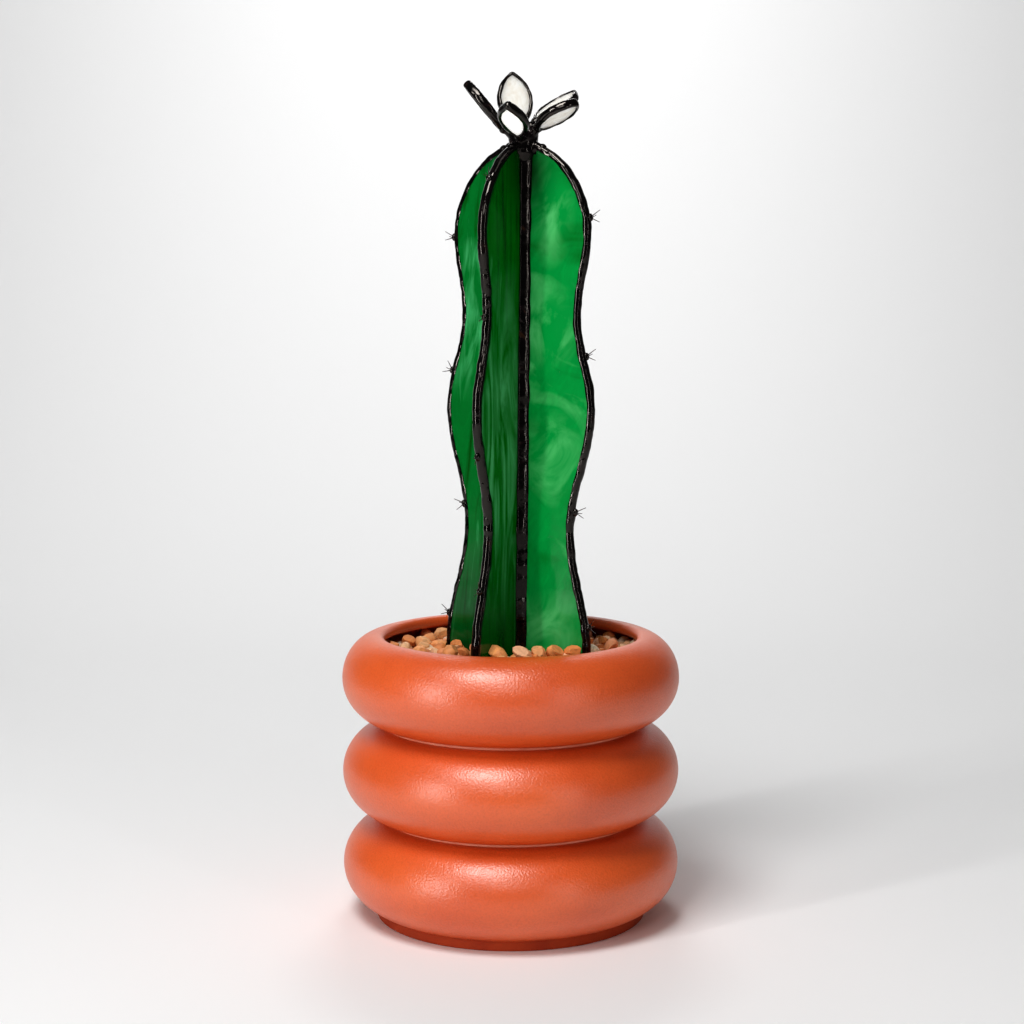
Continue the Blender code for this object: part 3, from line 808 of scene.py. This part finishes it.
random.seed(23)
for name in FIN_NAMES:
    for number in range(1, 5):
        node = f"spine_{name}_{number}"
        low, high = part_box(node)
        middle = fin_places[name].inverted() @ ((low + high) / 2)
        edge = fin_edges[name]
        nearest = min(range(1, len(edge) - 1), key=lambda index: (edge[index] - middle).length)
        run = (edge[nearest + 1] - edge[nearest - 1]).normalized()
        outward = Vector((run.y, -run.x, 0.0))
        share = (middle - edge[nearest]).dot(run)
        foot = edge[nearest] + run * share + outward * 0.0002
        bpy.ops.object.select_all(action="DESELECT")
        bpy.ops.mesh.primitive_ico_sphere_add(subdivisions=3, radius=DROP_RADIUS)
        drop = bpy.context.active_object
        bpy.ops.object.mode_set(mode="EDIT")
        bpy.ops.transform.resize(value=(0.8, 1.25, 0.95))
        bpy.ops.transform.vertex_random(offset=DROP_RADIUS * 0.12, seed=number)
        bpy.ops.object.mode_set(mode="OBJECT")
        wires = [
            draw_wire(random.uniform(0.5, 0.8), random.uniform(-0.5, 0.5), WIRE_LENGTH),
            draw_wire(-random.uniform(0.3, 0.7), random.uniform(-0.6, 0.6), WIRE_LENGTH * 0.9),
            draw_wire(random.uniform(-0.4, 0.4), random.uniform(0.8, 1.6), WIRE_LENGTH * 0.6),
        ]
        drop.data.materials.append(rim_solder)
        for wire in wires:
            wire.data.materials.append(spine_steel)
        select_only(drop, *wires)
        bpy.ops.object.join()
        tuft = bpy.context.active_object
        tuft.name = f"wire_tuft_{name}_{number}"
        turned = frame_of(foot, outward, Vector((0.0, 1.0, 0.0)) if abs(outward.x) > 0.5 else run)
        stand(tuft, fin_places[name] @ turned)
        bpy.ops.object.shade_smooth_by_angle(angle=math.radians(50.0))
        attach(tuft, "root")
        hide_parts(node)


# The hub. The tops of the fins and the roots of the petals are tacked together, and solder is flowed over
# them until they sit in one black lump that runs out a little along each fin.
HUB_VOXEL = 0.00032
HUB_SOFTENING = 14
HUB_LUMPS = (0.0005, 0.0035)
HUB_FOOT = (0.55, -0.62)
# The hub's outline from the skirt up to the crown, as shares of its radius and its height.
HUB_PROFILE = (
    (0.86, -0.3),
    (1.0, 0.0),
    (0.98, 0.2),
    (0.9, 0.42),
    (0.94, 0.62),
    (0.96, 0.78),
    (0.82, 0.91),
    (0.5, 0.99),
)
# Drops of solder on the tip of each fin: how far out, how far down, and how large.
TIP_DROPS = ((-0.0016, 0.0016, 0.0024), (0.0012, 0.0020, 0.0019))
# Drops at the root of each petal: how far in towards the hub, and how large.
ROOT_DROPS = ((0.0, 0.0021), (0.35, 0.0024))
hub_solder = solder_finish("hub_solder", 0.14, 1.4)
hub_corners = plain_corners("flower_hub")
hub_spots = [(Vector(corner) - cactus_foot).dot(cactus_up) for corner in hub_corners]
hub_low = min(hub_spots)
hub_high = max(hub_spots)
hub_radius = (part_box("flower_hub")[1].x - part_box("flower_hub")[0].x) / 2 * 0.98
bpy.ops.object.select_all(action="DESELECT")
hub_rise = hub_high - hub_low
hub_foot = (hub_radius * HUB_FOOT[0], hub_rise * HUB_FOOT[1])
bpy.ops.mesh.primitive_circle_add(vertices=40, radius=hub_foot[0], fill_type="TRIFAN")
hub = bpy.context.active_object
hub.data.transform(Matrix.Translation((0.0, 0.0, hub_foot[1])))
bpy.ops.object.mode_set(mode="EDIT")
bpy.ops.mesh.select_mode(type="EDGE")
bpy.ops.mesh.region_to_loop()
outline = [(hub_radius * share, hub_rise * rise) for share, rise in HUB_PROFILE]
pull_ring(hub_foot, outline + [(hub_radius * 0.02, hub_rise)])
bpy.ops.mesh.merge(type="COLLAPSE")
bpy.ops.object.mode_set(mode="OBJECT")
hub_axes = frame_of(cactus_foot + cactus_up * hub_low, fin_ways["right"], cactus_up)
upright = Matrix((hub_axes.col[0], -hub_axes.col[2], hub_axes.col[1], hub_axes.col[3])).transposed()
hub.data.transform(upright)
hub_blobs = [hub]
for name in FIN_NAMES:
    tip = fin_edges[name][-1]
    for out, down, size in TIP_DROPS:
        spot = fin_places[name] @ Vector((tip.x + out, tip.y - down, 0.0))
        bpy.ops.mesh.primitive_ico_sphere_add(subdivisions=3, radius=size, location=spot)
        bpy.ops.object.transform_apply(location=True, rotation=True, scale=True)
        hub_blobs.append(bpy.context.active_object)

# The petals stand in their places while the hub is built up, so where each one lies is found here.
PETAL_NAMES = ("front", "right", "right_back", "back", "left")
petal_places = {}
petal_sizes = {}
hub_middle = cactus_foot + cactus_up * (hub_low + hub_high) / 2
for name in PETAL_NAMES:
    corners = plain_corners(f"petal_rim_{name}")
    centre = Vector(corners.mean(axis=0))
    _, _, ways = np.linalg.svd(corners - np.array(centre))
    along = Vector(ways[0])
    if along.dot(centre - hub_middle) < 0.0:
        along = -along
    face = Vector(ways[2])
    if face.z < 0.0:
        face = -face
    petal_places[name] = frame_of(centre, along, face.cross(along))
    flat = [petal_places[name].inverted() @ Vector(corner) for corner in corners]
    petal_sizes[name] = (max(spot.x for spot in flat), max(spot.y for spot in flat))
    root = petal_places[name] @ Vector((-petal_sizes[name][0] + 0.0010, 0.0, 0.0))
    for share, size in ROOT_DROPS:
        spot = root.lerp(hub_middle + cactus_up * 0.0015, share)
        bpy.ops.mesh.primitive_ico_sphere_add(subdivisions=3, radius=size, location=spot)
        bpy.ops.object.transform_apply(location=True, rotation=True, scale=True)
        hub_blobs.append(bpy.context.active_object)
select_only(*hub_blobs)
bpy.ops.object.join()
hub = bpy.context.active_object
hub.name = "solder_hub"
fuse = hub.modifiers.new("fuse", "REMESH")
fuse.mode = "VOXEL"
fuse.voxel_size = HUB_VOXEL
apply_modifier(hub, fuse)
soften = hub.modifiers.new("soften", "SMOOTH")
soften.iterations = HUB_SOFTENING
apply_modifier(hub, soften)
raise_lumps(hub, *HUB_LUMPS)
clean_up(hub, 80.0)
finish_piece(hub, hub_solder, "flower_hub")


# The petals. Five almond shapes of rolled glass, one white and four cream, are foiled and beaded with
# solder in the same way as the fins, and stand out from the hub at their own angles.
PETAL_BEAD = 0.0010
PETAL_BEAD_HALF = 0.0018
PETAL_GLASS_HALF = 0.0013
PETAL_CUTS = 8
BEAD_ROUNDING = 0.55
PETAL_LUMPS = (0.0005, 0.0035)
TIP_OPENING = 0.93
FRONT_SHARE = 0.86
FRONT_BEAD = 0.0012


def petal_finish(name, tones, painted_glow):
    """White rolled glass: light that enters it spreads and comes out again all over the pane, and a painted
    glow is added on top.
    """
    milk = new_finish(name, 0.08)
    set_socket(milk, "Subsurface Weight", 1.0)
    set_socket(milk, "Subsurface Radius", (1.0, 1.0, 1.0))
    set_socket(milk, "Subsurface Scale", 0.008)
    set_socket(milk, "Emission Color", paint(255, 252, 246))
    set_socket(milk, "Emission Strength", painted_glow)
    haze = add_noise(milk, own_place(milk, (0.5, 0.5, 1.0)), 120.0, 4.0, 1.2)
    low, middle, high = tones
    stops = [(0.3, paint(*low)), (0.55, paint(*middle)), (0.75, paint(*high))]
    to_shader(milk, "Base Color", add_ramp(milk, haze, stops))
    rolled = add_noise(milk, own_place(milk), 160.0, 2.0)
    to_shader(milk, "Normal", add_bump(milk, rolled, 0.0005, 0.4))
    return milk


# The white petal has a strong painted glow, so that it stays white in the shade, and the cream ones a faint
# painted glow.
white_glass = petal_finish("white_glass", ((244, 244, 242), (254, 254, 254), (255, 255, 255)), 0.5)
cream_glass = petal_finish("cream_glass", ((224, 214, 198), (242, 237, 226), (250, 247, 240)), 0.06)
petal_solder = solder_finish("petal_solder", 0.1, 1.55)


def almond(half_length, half_width, inset, cuts):
    """Two arcs that meet at either end, with each end rounded, as knots along a line inside the outline."""
    radius = (half_length**2 + half_width**2) / (2 * half_width)
    line = radius - inset
    low = radius - half_width
    end = math.acos(low / line) * TIP_OPENING
    knots = []
    for side in (1, -1):
        for step in range(cuts + 1):
            angle = end * (1 - 2 * step / cuts) * side
            knots.append((line * math.sin(angle), (line * math.cos(angle) - low) * side))
        knots.append((-side * (half_length - inset * 1.25), 0.0))
    return knots


for name in PETAL_NAMES:
    half_length, half_width = petal_sizes[name]
    wide = PETAL_BEAD
    tall = PETAL_BEAD_HALF
    glass = cream_glass
    if name == "front":
        half_width *= FRONT_SHARE
        wide = FRONT_BEAD
        glass = white_glass
    outline = almond(half_length, half_width, wide, PETAL_CUTS)
    path = bezier_path(f"petal_solder_{name}", outline, closed=True, steps=6)
    section = bezier_path("section", [(0.0, 0.0)] * 4, closed=True, steps=4)
    side = wide * BEAD_ROUNDING
    rise = tall * BEAD_ROUNDING
    corners = [
        ((wide, 0.0), (wide, -rise), (wide, rise)),
        ((0.0, tall), (side, tall), (-side, tall)),
        ((-wide, 0.0), (-wide, rise), (-wide, -rise)),
        ((0.0, -tall), (-side, -tall), (side, -tall)),
    ]
    set_corners(section, corners)
    border = sweep(path, section)
    stand(border, petal_places[name])
    clean_up(border, 70.0)
    raise_lumps(border, *PETAL_LUMPS)
    clean_up(border, 70.0)
    finish_piece(border, petal_solder, f"petal_rim_{name}")

    sheet = bezier_path(f"petal_pane_{name}", outline, closed=True, steps=6)
    sheet.data.dimensions = "2D"
    sheet.data.fill_mode = "BOTH"
    sheet.data.extrude = PETAL_GLASS_HALF
    select_only(sheet)
    bpy.ops.object.convert(target="MESH")
    pane = bpy.context.active_object
    stand(pane, petal_places[name])
    clean_up(pane, 30.0)
    finish_piece(pane, glass, f"petal_glass_{name}")


# The studio. A pale sweep that is floor and wall in one, a soft key high at the left, a slim strip lamp at
# either side for the lines of light on the solder, a lamp on the wall, and a camera a little above the pot.
SWEEP_START = 0.55
SWEEP_RADIUS = 0.75
SWEEP_WIDTH = 1.9
SWEEP_FRONT = -1.0
WALL_HEIGHT = 2.5
FLOOR_SIZE = (6.0, 3.0)
FLOOR_DROP = 0.0006
bpy.ops.object.select_all(action="DESELECT")
bpy.ops.mesh.primitive_plane_add(size=1.0)
floor = bpy.context.active_object
floor.name = "studio_sweep"
sweep_depth = SWEEP_START - SWEEP_FRONT
floor.data.transform(Matrix.Diagonal((SWEEP_WIDTH, sweep_depth, 1.0, 1.0)))
floor.data.transform(Matrix.Translation((0.0, SWEEP_START - sweep_depth / 2, 0.0)))
bpy.ops.object.mode_set(mode="EDIT")
bpy.ops.mesh.select_mode(type="EDGE")
bpy.ops.mesh.select_all(action="DESELECT")
bpy.ops.object.mode_set(mode="OBJECT")
for edge in floor.data.edges:
    ends = [floor.data.vertices[index].co.y for index in edge.vertices]
    edge.select = min(ends) > SWEEP_START - 0.001
bpy.ops.object.mode_set(mode="EDIT")
bpy.ops.mesh.spin(
    steps=36,
    angle=math.radians(-90.0),
    center=(0.0, SWEEP_START, SWEEP_RADIUS),
    axis=(1.0, 0.0, 0.0),
)
bpy.ops.mesh.extrude_region_move()
bpy.ops.transform.translate(value=(0.0, 0.0, WALL_HEIGHT))
bpy.ops.mesh.select_all(action="SELECT")
bpy.ops.mesh.remove_doubles(threshold=0.0001)
bpy.ops.mesh.normals_make_consistent(inside=False)
bpy.ops.object.mode_set(mode="OBJECT")
if floor.data.polygons[0].normal.z < 0.0:
    floor.data.flip_normals()
bpy.ops.object.shade_smooth_by_angle(angle=math.radians(40.0))

# A wider floor lies just under the sweep, for the views from the side.
bpy.ops.mesh.primitive_plane_add(size=1.0)
table = bpy.context.active_object
table.name = "studio_floor"
table.data.transform(Matrix.Diagonal((*FLOOR_SIZE, 1.0, 1.0)))
table.data.transform(Matrix.Translation((0.0, FLOOR_SIZE[1] / 2 + SWEEP_FRONT, -FLOOR_DROP)))
paper = new_finish("studio_paper", 0.9)
set_socket(paper, "Base Color", grey(0.89))
set_socket(paper, "Specular IOR Level", 0.1)
floor.data.materials.append(paper)
table.data.materials.append(paper)

world = bpy.data.worlds.new("studio_world")
bpy.context.scene.world = world
world.use_nodes = True
world.node_tree.nodes["Background"].inputs["Color"].default_value = grey(1.0)
world.node_tree.nodes["Background"].inputs["Strength"].default_value = 0.06


def add_lamp(name, spot, aim, width, height, watts):
    bpy.ops.object.light_add(type="AREA", location=spot)
    lamp = bpy.context.active_object
    lamp.name = name
    lamp.data.shape = "RECTANGLE"
    lamp.data.size = width
    lamp.data.size_y = height
    lamp.data.energy = watts
    lamp.rotation_euler = (Vector(aim) - Vector(spot)).to_track_quat("-Z", "Y").to_euler()


add_lamp("key", (-0.28, -0.54, 1.15), (0.0, 0.0, 0.1), 0.42, 0.42, 8.0)
add_lamp("fill", (-0.15, -1.25, 0.95), (0.0, 0.0, 0.12), 0.5, 0.4, 2.4)
add_lamp("left_strip", (-0.95, -0.75, 0.30), (0.0, 0.0, 0.18), 0.07, 1.1, 6.0)
add_lamp("right_strip", (0.72, -0.95, 0.35), (0.0, 0.0, 0.20), 0.03, 0.8, 1.2)
add_lamp("wall", (0.0, 0.75, 1.05), (0.0, 1.1, 0.2), 0.3, 0.3, 3.85)

CAMERA_SPOT = (0.0005, -0.8011, 0.2488)
CAMERA_DIP = math.radians(6.43)
bpy.ops.object.camera_add(location=CAMERA_SPOT, rotation=(math.pi / 2 - CAMERA_DIP, 0.0, 0.0))
camera = bpy.context.active_object
camera.data.lens = 72.97
camera.data.sensor_width = 36.0
bpy.context.scene.camera = camera
bpy.context.scene.view_settings.view_transform = "Standard"
bpy.context.scene.view_settings.look = "Medium High Contrast"
